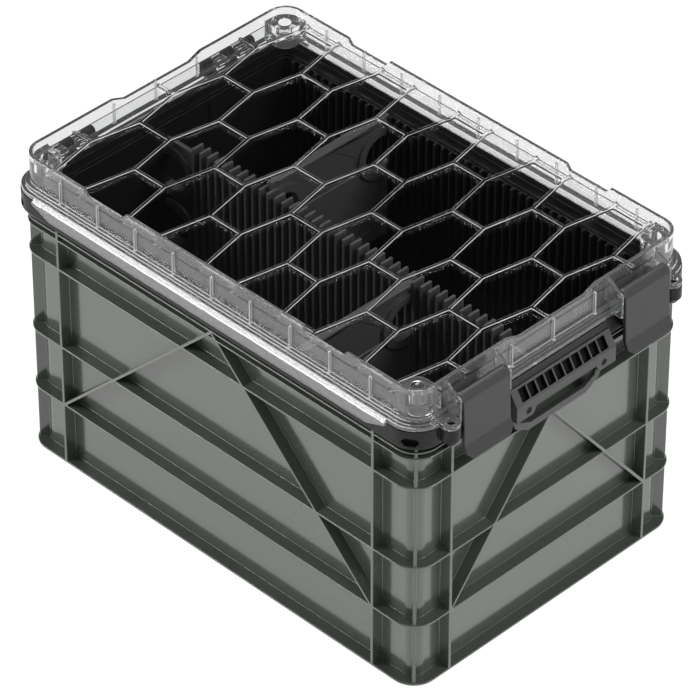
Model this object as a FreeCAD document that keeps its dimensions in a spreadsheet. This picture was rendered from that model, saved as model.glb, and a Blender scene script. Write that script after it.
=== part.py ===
import FreeCAD, Part
import Sketcher
import math
import os
import re

# Storage crate: a ribbed stacking crate that carries a lift-out organiser case
# with a clear hinged lid, two draw latches, a carry handle and loose dividers.
# Frame: origin at the centre of the crate's underside, +Z up, +X to the latches.
# All lengths are millimetres.

Vector = FreeCAD.Vector
Rotation = FreeCAD.Rotation

doc = FreeCAD.newDocument("StorageCrate")
sheet = doc.addObject("Spreadsheet::Sheet", "Sizes")
aliases = []

crateSizes = {
    "crateLength": 440, "crateWidth": 297.2, "crateHeight": 235.7, "crateCorner": 21,
    "ribDepth": 10.2, "crateWall": 2.5, "crateFloor": 3,
    "postWidth": 2.8, "shelfThick": 2, "braceThick": 2.5, "rimThick": 1.6,
    "lowShelfShare": 0.2588, "middleShelfShare": 0.50615,
    "highShelfDrop": 38.6, "lowRimDrop": 10.2, "highRimDrop": 4.2,
    "longPostInset": 46.1, "shortPostInset": 39.2, "postInset": 1.4,
    "crateHalfX": "=crateLength / 2", "crateHalfY": "=crateWidth / 2",
    "wallHalfX": "=crateHalfX - ribDepth", "wallHalfY": "=crateHalfY - ribDepth",
    "wallCorner": "=crateCorner - ribDepth",
    "binHalfX": "=wallHalfX - crateWall", "binHalfY": "=wallHalfY - crateWall",
    "binCorner": "=wallCorner - crateWall",
    "cornerX": "=crateHalfX - crateCorner", "cornerY": "=crateHalfY - crateCorner",
    "lowShelf": "=crateHeight * lowShelfShare", "middleShelf": "=crateHeight * middleShelfShare",
    "highShelf": "=crateHeight - highShelfDrop",
    "lowRim": "=crateHeight - lowRimDrop", "highRim": "=crateHeight - highRimDrop",
    "longPost": "=crateHalfX - longPostInset", "shortPost": "=crateHalfY - shortPostInset",
    "postHalfDiagonal": "=postWidth / 2 / sqrt(2)",
    "postReachDiagonal": "=sqrt((crateCorner - postInset)^2 - postWidth^2 / 4) / sqrt(2)",
    "longBraceDrop": "=braceThick * sqrt(longPost^2 + (highRim - lowShelf)^2) / longPost",
    "shortBraceDrop": "=braceThick * sqrt(shortPost^2 + (highShelf - lowShelf)^2) / shortPost",
    "overrun": 5,
}

caseSizes = {
    "caseClear": 0.6, "seatGap": 0.3, "tubWall": 2.4, "tubTall": 129, "tubFloor": 2.5,
    "flangeHeight": 18.5, "flangeOver": 4.6, "flangeTaper": 2.6, "taperTall": 4,
    "collarStep": 4, "collarDepth": 9, "skirtWall": 7.1, "channelWeb": 4.5,
    "tubHalfX": "=binHalfX - caseClear", "tubHalfY": "=binHalfY - caseClear",
    "tubCorner": "=binCorner - caseClear",
    "tubInX": "=tubHalfX - tubWall", "tubInY": "=tubHalfY - tubWall",
    "tubInCorner": "=tubCorner - tubWall",
    "flangeLow": "=crateHeight + seatGap", "rimZ": "=flangeLow + flangeHeight",
    "tubBottom": "=rimZ - tubTall", "tubFloorTop": "=tubBottom + tubFloor",
    "frontX": "=crateHalfX + flangeOver", "sideY": "=crateHalfY + flangeOver",
    "flangeCorner": "=crateCorner + flangeOver",
    "taperX": "=frontX - flangeTaper", "taperY": "=sideY - flangeTaper",
    "taperCorner": "=flangeCorner - flangeTaper", "taperTop": "=flangeLow + taperTall",
    "collarX": "=tubInX + collarStep", "collarY": "=tubInY + collarStep",
    "collarCorner": "=tubInCorner + collarStep", "ledgeZ": "=rimZ - collarDepth",
    "channelOutX": "=frontX - skirtWall", "channelOutY": "=sideY - skirtWall",
    "channelOutCorner": "=flangeCorner - skirtWall",
    "channelInX": "=collarX + tubWall", "channelInY": "=collarY + tubWall",
    "channelInCorner": "=collarCorner + tubWall", "channelTop": "=rimZ - channelWeb",
    "slotHalf": 7.2, "slotTall": 7.5, "slotEnd": 3, "slotDeep": 5, "slotRise": 8.5,
    "slotMiddle": "=flangeLow + slotRise",
    "slotLow": "=slotMiddle - slotTall / 2", "slotHigh": "=slotMiddle + slotTall / 2",
    "recessHalf": 46.5, "recessTall": 18.5, "recessDrop": 32.5, "recessDeep": 1.2,
    "recessLow": "=rimZ - recessDrop",
    "ribPitchShare": 0.04136, "ribPitch": "=tubInX * ribPitchShare",
    "ribWidth": 2.4, "wallRibReach": 3, "wallRibDrop": 0.5,
    "wallRibTop": "=ledgeZ - wallRibDrop",
}

lidSizes = {
    "lidGap": 0.3, "lidTall": 33.7, "lidWall": 3, "lidFlangeThick": 3.6, "lidFlangeInset": 0.6,
    "lidStepTall": 3.6, "lidStepOver": 3.6, "lidWallInset": 7.7, "lipDrop": 5,
    "panelDrop": 10.3, "panelThick": 2, "honeyTall": 2, "honeyWide": 3,
    "lidLow": "=rimZ + lidGap", "lidTop": "=lidLow + lidTall",
    "lidLedge": "=lidLow + lidFlangeThick", "lidStepTop": "=lidLedge + lidStepTall",
    "lipLow": "=lidTop - lipDrop", "panelTop": "=lidTop - panelDrop",
    "panelLow": "=panelTop - panelThick", "honeyTop": "=panelTop + honeyTall",
    "lidFlangeX": "=frontX - lidFlangeInset", "lidFlangeY": "=sideY - lidFlangeInset",
    "lidFlangeCorner": "=flangeCorner - lidFlangeInset",
    "lidWallX": "=frontX - lidWallInset", "lidWallY": "=sideY - lidWallInset",
    "lidWallCorner": "=flangeCorner - lidWallInset",
    "lidStepX": "=lidWallX + lidStepOver", "lidStepY": "=lidWallY + lidStepOver",
    "lidStepCorner": "=lidWallCorner + lidStepOver",
    "lidInX": "=lidWallX - lidWall", "lidInY": "=lidWallY - lidWall",
    "lidInCorner": "=lidWallCorner - lidWall",
    "honeyPitch": 42.35, "honeyRow": 45.4, "honeyEdge": 33.3,
    "gussetThick": 1.4, "gussetReach": 2.4, "gussetTop": "=lipLow - gussetThick",
    "gussetX": "=lidWallX + gussetReach", "gussetY": "=lidWallY + gussetReach",
    "longGapNear": 96.5, "longGapLength": 46.5, "gapSlope": 4,
    "longGapFar": "=longGapNear + longGapLength",
    "shortGapHalf": 35, "shortGapSlope": 13, "shortGapTop": "=shortGapHalf + shortGapSlope",
    "skirtGap": 0.4, "skirtThick": 2.4, "skirtDrop": 9.1, "skirtKnee": 0.5, "skirtCut": 19.5,
    "skirtInset": 23.4, "skirtEndRise": 7.4, "skirtEnd": "=lidWallX - skirtInset",
    "skirtIn": "=sideY + skirtGap", "skirtOut": "=skirtIn + skirtThick",
    "skirtLow": "=lidLow - skirtDrop", "skirtKneeZ": "=lidLow + skirtKnee",
    "bossInsetX": 14.9, "bossInsetY": 15.9, "bossRadius": 11, "bossDrop": 1.5,
    "socketRadius": 5.2, "socketDeep": 12,
    "bossX": "=lidWallX - bossInsetX", "bossY": "=lidWallY - bossInsetY", "bossTop": "=lipLow - bossDrop",
    "bossWallX": "=lidWallX - lidWall / 2", "bossWallY": "=lidWallY - lidWall / 2",
    "bossWallCorner": "=lidWallCorner - lidWall / 2",
}

sealSizes = {
    "gasketWide": 3.2, "gasketTall": 2.2, "grooveDeep": 2, "gasketGap": 0.5,
    "gasketInX": "=lidInX + gasketGap", "gasketInY": "=lidInY + gasketGap",
    "gasketInCorner": "=lidInCorner + gasketGap",
    "gasketOutX": "=gasketInX + gasketWide", "gasketOutY": "=gasketInY + gasketWide",
    "gasketOutCorner": "=gasketInCorner + gasketWide",
    "grooveLow": "=rimZ - grooveDeep",
}

hingeSizes = {
    "hardwareShare": 0.5922, "hardwareY": "=crateHalfY * hardwareShare",
    "pinRadius": 2, "knuckleRadius": 4, "knuckleWide": 11, "knuckleGap": 0.6,
    "hingeOut": 4.4, "hingeRise": 3.5, "pinFit": 0.06, "pressFit": 0.02, "hingeLugDrop": 12,
    "hingeX": "=frontX + hingeOut", "hingeZ": "=rimZ + hingeRise",
    "knuckleStep": "=knuckleWide + knuckleGap", "hingeHalf": "=2.5 * knuckleWide + 2 * knuckleGap",
    "lugLap": 0.5, "lugDip": 0.1, "lugWaist": 3.4,
}

latchSizes = {
    "latchHalf": 24.8, "latchSideGap": 0.5, "cheekThick": 2.5, "cheekOut": 7.7, "cheekRise": 21.5,
    "cheekDrop": 1, "cheekTopDrop": 1,
    "pivotOut": 2.8, "pivotRise": 19, "latchPinRadius": 1.6, "barrelRadius": 3.8,
    "latchLipOut": 15.6, "latchLipDrop": 33, "latchLipThick": 3.6,
    "latchBendOut": 10.6, "latchBendDrop": 21.5, "latchFaceOut": 9, "latchFaceRise": 18.5,
    "latchShoulderOut": 6.4, "latchShoulderRise": 24, "latchCrownOut": 4, "latchCrownRise": 26.5,
    "latchBackOut": 0.6, "latchBackRise": 23.8, "latchHeelRise": 19.5, "latchHeelIn": 0.6,
    "latchThick": 3.7, "latchChamfer": 5, "latchCrownChamfer": 3,
    "lipX": "=frontX + latchLipOut", "lipZ": "=rimZ - latchLipDrop",
    "bendX": "=frontX + latchBendOut", "bendZ": "=rimZ - latchBendDrop",
    "latchFaceX": "=frontX + latchFaceOut", "crownZ": "=rimZ + latchCrownRise",
    "pivotX": "=frontX + pivotOut", "pivotZ": "=rimZ + pivotRise",
    "cheekX": "=frontX + cheekOut", "cheekKnee": "=rimZ + cheekRise", "cheekLow": "=rimZ + cheekDrop",
    "cheekTop": "=lidTop - cheekTopDrop", "cheekIn": "=lidWallX - lidWall / 2",
    "cheekNear": "=latchHalf + latchSideGap", "cheekFar": "=cheekNear + cheekThick",
    "catchHalf": 18, "catchReach": 4.1, "catchTall": 8, "catchRise": 3, "clawTall": 2.5, "clawGap": 0.4,
    "catchX": "=frontX + catchReach", "catchLow": "=flangeLow + catchRise",
    "earOut": 4.4, "earGap": 8.7, "earRadius": 7.5, "earHole": 4, "earTall": 11,
    "earFoot": 2, "earTaper": 8, "lidEarTall": 4.2,
    "earX": "=frontX + earOut", "earY": "=hardwareY + latchHalf + earGap", "earLow": "=rimZ - earTall",
}

handleSizes = {
    "handleGap": 8.7, "handleHalf": "=hardwareY - latchHalf - handleGap",
    "handleDrop": 8, "handleFaceOut": 8.7, "handleFaceDrop": 20.5, "handleLow": 35,
    "handleTopOut": 0.8, "handleBack": 1, "gripBack": 0.8, "gripThick": 3.5,
    "gripInset": 3, "gripArm": 6.5, "gripMidIn": 5.5, "gripMidArm": 5, "gripLowIn": 19.5, "gripLowArm": 2.5,
    "gripBar": 6.5, "gripMidDrop": 50.5, "gripLowDrop": 58.5, "gripInMidDrop": 46.5,
    "gripTopHalf": "=handleHalf - gripInset", "gripInTop": "=gripTopHalf - gripArm",
    "gripMidHalf": "=gripTopHalf - gripMidIn", "gripInMid": "=gripMidHalf - gripMidArm",
    "gripLowHalf": "=gripTopHalf - gripLowIn", "gripInLow": "=gripLowHalf - gripLowArm",
    "screwInset": 3.7, "screwDrop": 29, "screwY": "=gripInTop - screwInset",
    "archInset": 8.8, "archFlare": 4, "archDrop": 28.5,
    "archHalf": "=screwY - archInset", "archFoot": "=archHalf + archFlare",
    "screwRadius": 1.5, "screwHead": 2.4, "screwHeadThick": 1.2, "screwSink": 1.8, "screwHeadGap": 0.4,
    "louvrePitchShare": 0.0881, "louvrePitch": "=2 * handleHalf * louvrePitchShare",
    "louvreWideShare": 0.812, "louvreWide": "=louvrePitch * louvreWideShare", "louvreDeep": 4.2,
    "louvreMargin": 2,
    "tabHalf": 3.4, "tabTop": 4, "tabLow": 33,
    "faceX": "=frontX + handleFaceOut", "handleTop": "=rimZ - handleDrop",
    "handleKnee": "=rimZ - handleFaceDrop", "handleBase": "=rimZ - handleLow",
    "handleBackX": "=frontX - handleBack", "handleTopX": "=frontX + handleTopOut",
    "gripX": "=crateHalfX + gripBack", "gripFaceX": "=gripX + gripThick", "screwZ": "=rimZ - screwDrop",
    "gripMidZ": "=rimZ - gripMidDrop", "gripLowZ": "=rimZ - gripLowDrop",
    "gripInMidZ": "=rimZ - gripInMidDrop", "gripInLowZ": "=gripLowZ + gripBar",
    "archZ": "=rimZ - archDrop", "headX": "=faceX - screwSink",
    "louvreRun": "=sqrt((faceX - handleTopX)^2 + (handleTop - handleKnee)^2)",
}

dividerSizes = {
    "combDrop": 13.6, "toothTall": 8.1, "combPlate": 3, "combRibReach": 4.25,
    "combTop": "=rimZ - combDrop", "combPlateTop": "=combTop - toothTall",
    "rearDrop": 8, "frontDrop": 15.5, "dividerThick": 3, "tongueThick": 5.4, "tongueLength": 6,
    "dividerGap": 0.3, "rearTop": "=rimZ - rearDrop", "frontTop": "=rimZ - frontDrop",
    "combHalfY": "=combPlate / 2 + combRibReach", "dividerNear": "=combPlate / 2 + dividerGap",
    "dividerFar": "=tubInY - dividerGap", "dividerLow": "=tubFloorTop + dividerGap",
    "brimWide": 8, "brimThick": 2.5, "brimStart": 7, "brimEnd": 5, "brimFar": "=dividerFar - brimEnd",
    "ringRadius": 24, "fingerRadius": 16.5, "ringThick": 8.4, "ringInset": 11.2, "ringDrop": 32.5,
    "ringNear": "=dividerNear + ringInset", "ringFar": "=dividerFar - ringInset",
    "panelMargin": 1.2, "panelDeep": 0.7, "roofTopDrop": 3, "roofSideDrop": 25, "roofLowDrop": 42,
    "panelNear": "=ringNear + ringRadius + panelMargin", "panelFar": "=ringFar - ringRadius - panelMargin",
    "panelMiddle": "=(panelNear + panelFar) / 2",
    "footPanelDrop": 57, "footPanelInset": 20, "footPanelRise": 12,
    "footPanelNear": "=dividerNear + footPanelInset", "footPanelFar": "=dividerFar - footPanelInset",
    "footPanelLow": "=dividerLow + footPanelRise",
    "clipWeb": 4, "clipRingInset": 8.5, "clipRingDrop": 30, "clipRingPitch": 52,
    "clipRingX": "=tubInX - clipRingInset", "clipRingHigh": "=combPlateTop - clipRingDrop",
    "clipRingLow": "=clipRingHigh - clipRingPitch",
}

# Counts, slots counted from the middle, and an angle, which are not lengths.
wallRibCount = 47
combRibCount = 41
louvreCount = 10
longGussetCount = 9
shortGussetCount = 3
rearSlotCount = -10.5
frontSlotCount = 8.5
slotAngle = 56

sides = (("-1", "left"), ("1", "right"))
ends = (("-1", "rear"), ("1", "front"))


def writeSizes(groups):
    row = 1
    for group in groups:
        for alias, content in group.items():
            cell = "B%d" % row
            sheet.set("A%d" % row, alias)
            sheet.set(cell, str(content))
            sheet.setAlias(cell, alias)
            aliases.append(alias)
            row += 1
    doc.recompute()


def size(alias):
    return float(sheet.get(alias))


def bound(text):
    def named(word):
        return "Sizes." + word[0] if word[0] in aliases else word[0]

    return re.sub(r"[A-Za-z]\w*", named, text)


def bind(item, **expressions):
    for path, text in expressions.items():
        item.setExpression(path.replace("__", "."), bound(text))


def bindBase(item, x="0", y="0", z="0"):
    for path, text in (("Placement.Base.x", x), ("Placement.Base.y", y), ("Placement.Base.z", z)):
        item.setExpression(path, bound(text))


def box(name, xs, ys, zs):
    item = doc.addObject("Part::Box", name)
    spans = ["(%s) - (%s)" % (high, low) for low, high in (xs, ys, zs)]
    bind(item, Length=spans[0], Width=spans[1], Height=spans[2])
    bindBase(item, xs[0], ys[0], zs[0])
    return item


axisTurns = {
    "x": Rotation(Vector(0, 1, 0), 90),
    "y": Rotation(Vector(1, 0, 0), -90),
    "z": Rotation(),
}


def cylinder(name, axis, start, radius, length):
    item = doc.addObject("Part::Cylinder", name)
    item.Placement = FreeCAD.Placement(Vector(), axisTurns[axis])
    bind(item, Radius=radius, Height=length)
    bindBase(item, *start)
    return item


def cone(name, start, lowRadius, highRadius, length):
    item = doc.addObject("Part::Cone", name)
    bind(item, Radius1=lowRadius, Radius2=highRadius, Height=length)
    bindBase(item, *start)
    return item


planes = {
    "xy": (Rotation(), Vector(0, 0, 1)),
    "xz": (Rotation(Vector(1, 0, 0), 90), Vector(0, 1, 0)),
    "yz": (Rotation(Vector(1, 1, 1), 120), Vector(1, 0, 0)),
}


# A closed outline, each corner placed by two expressions, drawn out along the plane's normal.
def profile(name, plane, corners, start, end, spinAngle=0, origin=("0", "0")):
    sketch = doc.addObject("Sketcher::SketchObject", name + "_outline")
    spin = Rotation(Vector(0, 0, 1), spinAngle)
    rotation, direction = planes[plane]
    sketch.Placement = FreeCAD.Placement(Vector(), spin * rotation)
    count = len(corners)
    turns = [2 * math.pi * i / count for i in range(count)]
    spots = [Vector(math.cos(turn), math.sin(turn), 0) for turn in turns]
    for i in range(count):
        sketch.addGeometry(Part.LineSegment(spots[i], spots[(i + 1) % count]), False)
    for i, (across, up) in enumerate(corners):
        sketch.addConstraint(Sketcher.Constraint("Coincident", i - 1 if i else count - 1, 2, i, 1))
        for kind, text, seed in (("DistanceX", across, spots[i].x), ("DistanceY", up, spots[i].y)):
            number = sketch.addConstraint(Sketcher.Constraint(kind, -1, 1, i, 1, seed))
            sketch.setExpression("Constraints[%d]" % number, bound(text))
    if plane == "xy":
        bindBase(sketch, z=start)
    elif plane == "xz":
        bindBase(sketch, y=start)
    elif spinAngle:
        bindBase(sketch, *origin)
    else:
        bindBase(sketch, x=start)
    solid = doc.addObject("Part::Extrusion", name)
    solid.Base = sketch
    solid.DirMode = "Custom"
    solid.Dir = spin.multVec(direction)
    solid.Solid = True
    bind(solid, LengthFwd="(%s) - (%s)" % (end, start))
    return solid


# A rounded rectangle centred on the Z axis.
def roundedOutline(name, halfX, halfY, corner, level):
    sketch = doc.addObject("Sketcher::SketchObject", name + "_outline")
    x, y, r = size(halfX), size(halfY), size(corner)
    centres = [(x - r, y - r), (r - x, y - r), (r - x, r - y), (x - r, r - y)]
    ends = [(x, r - y, x, y - r), (x - r, y, r - x, y), (-x, y - r, -x, r - y), (r - x, -y, x - r, -y)]
    for side in range(4):
        x0, y0, x1, y1 = ends[side]
        sketch.addGeometry(Part.LineSegment(Vector(x0, y0, 0), Vector(x1, y1, 0)), False)
        circle = Part.Circle(Vector(*centres[side], 0), Vector(0, 0, 1), r)
        quarter = math.pi / 2
        sketch.addGeometry(Part.ArcOfCircle(circle, side * quarter, (side + 1) * quarter), False)
    rules = []
    for side in range(4):
        line, arc, following = 2 * side, 2 * side + 1, (2 * side + 2) % 8
        rules.append(Sketcher.Constraint("Tangent", line, 2, arc, 1))
        rules.append(Sketcher.Constraint("Tangent", arc, 2, following, 1))
        rules.append(Sketcher.Constraint("Vertical" if side % 2 == 0 else "Horizontal", line))
    for arc in (3, 5, 7):
        rules.append(Sketcher.Constraint("Equal", 1, arc))
    sketch.addConstraint(rules)
    for kind, line, text, seed in (("DistanceX", 0, halfX, x), ("DistanceX", 4, "-" + halfX, -x),
                                   ("DistanceY", 2, halfY, y), ("DistanceY", 6, "-" + halfY, -y)):
        number = sketch.addConstraint(Sketcher.Constraint(kind, -1, 1, line, 1, seed))
        sketch.setExpression("Constraints[%d]" % number, bound(text))
    number = sketch.addConstraint(Sketcher.Constraint("Radius", 1, r))
    sketch.setExpression("Constraints[%d]" % number, bound(corner))
    bindBase(sketch, z=level)
    return sketch


def roundedBlock(name, outline, low, high):
    solid = doc.addObject("Part::Extrusion", name)
    solid.Base = roundedOutline(name, *outline, low)
    solid.DirMode = "Custom"
    solid.Dir = Vector(0, 0, 1)
    solid.Solid = True
    bind(solid, LengthFwd="(%s) - (%s)" % (high, low))
    return solid


def loft(name, sketches):
    solid = doc.addObject("Part::Loft", name)
    solid.Sections = sketches
    solid.Solid = True
    solid.Ruled = True
    return solid


def fuse(name, pieces):
    item = doc.addObject("Part::MultiFuse", name)
    item.Shapes = pieces
    item.Refine = True
    return item


def cut(name, base, tools):
    tool = tools[0]
    if len(tools) > 1:
        tool = doc.addObject("Part::MultiFuse", name + "_tools")
        tool.Shapes = tools
    item = doc.addObject("Part::Cut", name)
    item.Base = base
    item.Tool = tool
    item.Refine = True
    return item


def common(name, first, second):
    item = doc.addObject("Part::Common", name)
    item.Base = first
    item.Tool = second
    return item


subParts = {}


def keep(node, item):
    item.Label = node
    subParts[node] = item


# The two faces of something centred on a middle.
def centred(middle, half):
    return ("%s - %s" % (middle, half), "%s + %s" % (middle, half))


def mirrored(factor, corners):
    return [("%s * (%s)" % (factor, across), up) for across, up in corners]


def ring(name, outer, inner, low, high):
    body = roundedBlock(name + "_outer", outer, low, high)
    return cut(name, body, [roundedBlock(name + "_inner", inner, low + " - overrun", high + " + overrun")])


# A rounded corner's upright post, which points along the corner's diagonal.
def cornerPost(name, along, side):
    x = ("+ postHalfDiagonal", "- postHalfDiagonal",
         "- postHalfDiagonal + postReachDiagonal", "+ postHalfDiagonal + postReachDiagonal")
    y = (x[1], x[0], x[3], x[2])
    corners = [("%s * (cornerX %s)" % (along, x[i]), "%s * (cornerY %s)" % (side, y[i])) for i in range(4)]
    return profile(name, "xy", corners, "0", "crateHeight")


# A pair of slanting braces that meet over the middle of a wall.
def brace(name, plane, foot, apex, drop, half):
    corners = [("-" + foot, "lowShelf - " + drop), ("0", apex + " - " + drop), (foot, "lowShelf - " + drop),
               (foot, "lowShelf"), ("0", apex), ("-" + foot, "lowShelf")]
    return profile(name, plane, corners, "-" + half, half)


# The crate: a thin wall inside a cage of shelves, posts and slanting braces.
def makeCrate():
    envelope = ("crateHalfX", "crateHalfY", "crateCorner")
    pieces = [
        roundedBlock("crate_wall", ("wallHalfX", "wallHalfY", "wallCorner"), "0", "crateHeight"),
        roundedBlock("base_flange", envelope, "0", "shelfThick"),
    ]
    for level in ("lowShelf", "middleShelf", "highShelf"):
        pieces.append(roundedBlock(level + "_plate", envelope, level + " - shelfThick", level))
    for level in ("lowRim", "highRim"):
        pieces.append(roundedBlock(level + "_plate", envelope, level + " - rimThick", level))
    height = ("0", "crateHeight")
    for side, mark in sides:
        longSpan = centred(side + " * longPost", "postWidth / 2")
        shortSpan = centred(side + " * shortPost", "postWidth / 2")
        pieces.append(box("long_post_" + mark, longSpan, ("-crateHalfY", "crateHalfY"), height))
        pieces.append(box("short_post_" + mark, ("-crateHalfX", "crateHalfX"), shortSpan, height))
        for along, end in ends:
            pieces.append(cornerPost("corner_post_%s_%s" % (mark, end), along, side))
    pieces.append(brace("long_brace", "xz", "longPost", "highRim", "longBraceDrop", "crateHalfY"))
    pieces.append(brace("short_brace", "yz", "shortPost", "highShelf", "shortBraceDrop", "crateHalfX"))
    cage = fuse("crate_cage", pieces)
    bin = ("binHalfX", "binHalfY", "binCorner")
    hollow = roundedBlock("crate_hollow", bin, "crateFloor", "crateHeight + overrun")
    keep("crate_shell", cut("crate_shell", cage, [hollow]))


# A slot in the flange's rounded corner, turned from the X axis by slotAngle.
def cornerSlot(name, along, side):
    angle = slotAngle if along == "1" else 180 - slotAngle
    angle = angle if side == "1" else -angle
    flat = "slotHalf - slotEnd"
    corners = [("-(%s)" % flat, "slotLow"), (flat, "slotLow"), ("slotHalf", "slotMiddle"),
               (flat, "slotHigh"), ("-(%s)" % flat, "slotHigh"), ("-slotHalf", "slotMiddle")]
    inset = "(flangeCorner - slotDeep)"
    origin = ("%s * (cornerX + %s * cos(%d deg))" % (along, inset, slotAngle),
              "%s * (cornerY + %s * sin(%d deg))" % (side, inset, slotAngle))
    return profile(name, "yz", corners, "0", "slotDeep + overrun", angle, origin)


# Separate upright ribs along one long wall of the tub.
def ribStrip(name, low, high):
    item = doc.addObject("Part::Feature", name)
    half = size("ribWidth") / 2
    foot, top = size("tubFloorTop") - size("tubFloor") / 2, size("wallRibTop")
    ribs = []
    for step in range(wallRibCount):
        middle = (step - (wallRibCount - 1) / 2) * size("ribPitch")
        ribs.append(Part.makeBox(2 * half, high - low, top - foot, Vector(middle - half, low, foot)))
    item.Shape = Part.makeCompound(ribs)
    return item


# Catch, handle tab, padlock ear and hinge knuckles on one side of the case.
def caseFittings(side, mark):
    catchSpan = centred(side + " * hardwareY", "catchHalf")
    tabSpan = centred(side + " * screwY", "tabHalf")
    earSpan = centred(side + " * earY", "earRadius")
    spot = ("earX", side + " * earY")
    pieces = [
        box("catch_" + mark, ("frontX - overrun", "catchX"), catchSpan,
            ("catchLow", "catchLow + catchTall")),
        box("handle_tab_" + mark, ("gripX", "handleBackX"), tabSpan,
            ("rimZ - tabLow", "flangeLow + tabTop")),
        cylinder("case_ear_" + mark, "z", spot + ("earLow",), "earRadius", "earTall"),
        cone("ear_taper_" + mark, spot + ("earLow - earTaper",), "earFoot", "earRadius", "earTaper"),
        box("ear_neck_" + mark, ("frontX - overrun", "earX"), earSpan, ("earLow", "rimZ")),
    ]
    lug = [("-hingeX - knuckleRadius", "hingeZ"), ("-hingeX", "hingeZ"),
           ("-hingeX + lugWaist", "rimZ - lugDip"), ("-frontX + lugLap", "rimZ - lugDip"),
           ("-frontX + lugLap", "hingeZ - hingeLugDrop"),
           ("-hingeX - knuckleRadius", "hingeZ - knuckleRadius")]
    for step in (-2, 0, 2):
        low, high = centred("%s * hardwareY + %d * knuckleStep" % (side, step), "knuckleWide / 2")
        name = "case_knuckle_%s_%d" % (mark, step + 2)
        pieces.append(cylinder(name, "y", ("-hingeX", low, "hingeZ"), "knuckleRadius", "knuckleWide"))
        pieces.append(profile(name + "_lug", "xz", lug, low, high))
    return pieces


# Holes for the padlock, handle screw and hinge pin, and the corner slots, on one side of the case.
def caseHoles(side, mark):
    earFoot = ("earX", side + " * earY", "earLow - earTaper - overrun")
    tabFoot = ("gripX - overrun", side + " * screwY", "screwZ")
    pinFoot = ("-hingeX", side + " * hardwareY - hingeHalf - overrun", "hingeZ")
    holes = [
        cylinder("case_ear_hole_" + mark, "z", earFoot, "earHole", "earTall + earTaper + 2 * overrun"),
        cylinder("tab_hole_" + mark, "x", tabFoot, "screwRadius + pressFit", "gripThick + 2 * overrun"),
        cylinder("case_pin_hole_" + mark, "y", pinFoot, "pinRadius + pressFit",
                 "2 * hingeHalf + 2 * overrun"),
    ]
    for along, end in ends:
        holes.append(cornerSlot("corner_slot_%s_%s" % (mark, end), along, side))
    return holes


def makeTub():
    flange = ("frontX", "sideY", "flangeCorner")
    foot = roundedOutline("flange_foot", "taperX", "taperY", "taperCorner", "flangeLow")
    knee = roundedOutline("flange_knee", *flange, "taperTop")
    pieces = [
        roundedBlock("tub_block", ("tubHalfX", "tubHalfY", "tubCorner"), "tubBottom", "rimZ"),
        loft("flange_taper", [foot, knee]),
        roundedBlock("flange_band", flange, "taperTop", "rimZ"),
    ]
    hollows = [
        roundedBlock("tub_hollow", ("tubInX", "tubInY", "tubInCorner"), "tubFloorTop", "rimZ + overrun"),
        roundedBlock("collar_hollow", ("collarX", "collarY", "collarCorner"), "ledgeZ", "rimZ + overrun"),
        box("rear_recess", ("-tubInX - recessDeep", "-tubInX + overrun"), ("-recessHalf", "recessHalf"),
            ("recessLow", "recessLow + recessTall")),
        ring("flange_channel", ("channelOutX", "channelOutY", "channelOutCorner"),
             ("channelInX", "channelInY", "channelInCorner"), "flangeLow - overrun", "channelTop"),
        ring("gasket_groove", ("gasketOutX", "gasketOutY", "gasketOutCorner"),
             ("gasketInX", "gasketInY", "gasketInCorner"), "grooveLow", "rimZ + overrun"),
    ]
    for side, mark in sides:
        pieces += caseFittings(side, mark)
        hollows += caseHoles(side, mark)
    shell = cut("tub_shell", fuse("tub_body", pieces), hollows)

    tips = size("tubInY") - size("wallRibReach")
    wall = size("tubInY") + size("tubWall") / 2
    racks = [ribStrip("wall_ribs_left", -wall, -tips), ribStrip("wall_ribs_right", tips, wall)]
    keep("case_tub", fuse("case_tub", [shell] + racks))


def makeGasket():
    outer = ("gasketOutX", "gasketOutY", "gasketOutCorner")
    inner = ("gasketInX", "gasketInY", "gasketInCorner")
    keep("lid_gasket", ring("lid_gasket", outer, inner, "grooveLow", "grooveLow + gasketTall"))


# The handle's block, with a sloping upper face, and the flat bail under it.
def handleBody():
    corners = [("frontX", "handleTop"), ("handleTopX", "handleTop"), ("faceX", "handleKnee"),
               ("faceX", "handleBase"), ("handleBackX", "handleBase"), ("handleBackX", "flangeLow"),
               ("frontX", "flangeLow")]
    block = profile("handle_block", "xz", corners, "-handleHalf", "handleHalf")
    outer = [("-gripTopHalf", "flangeLow"), ("-gripTopHalf", "handleBase"), ("-gripMidHalf", "gripMidZ"),
             ("-gripLowHalf", "gripLowZ"), ("gripLowHalf", "gripLowZ"), ("gripMidHalf", "gripMidZ"),
             ("gripTopHalf", "handleBase"), ("gripTopHalf", "flangeLow")]
    over = "flangeLow + overrun"
    inner = [("-gripInTop", over), ("-gripInTop", "handleBase"), ("-gripInMid", "gripInMidZ"),
             ("-gripInLow", "gripInLowZ"), ("gripInLow", "gripInLowZ"), ("gripInMid", "gripInMidZ"),
             ("gripInTop", "handleBase"), ("gripInTop", over)]
    bail = cut("handle_bail", profile("bail_outer", "yz", outer, "gripX", "gripFaceX"),
               [profile("bail_inner", "yz", inner, "gripX - overrun", "gripFaceX + overrun")])
    return fuse("handle_body", [block, bail])


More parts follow.
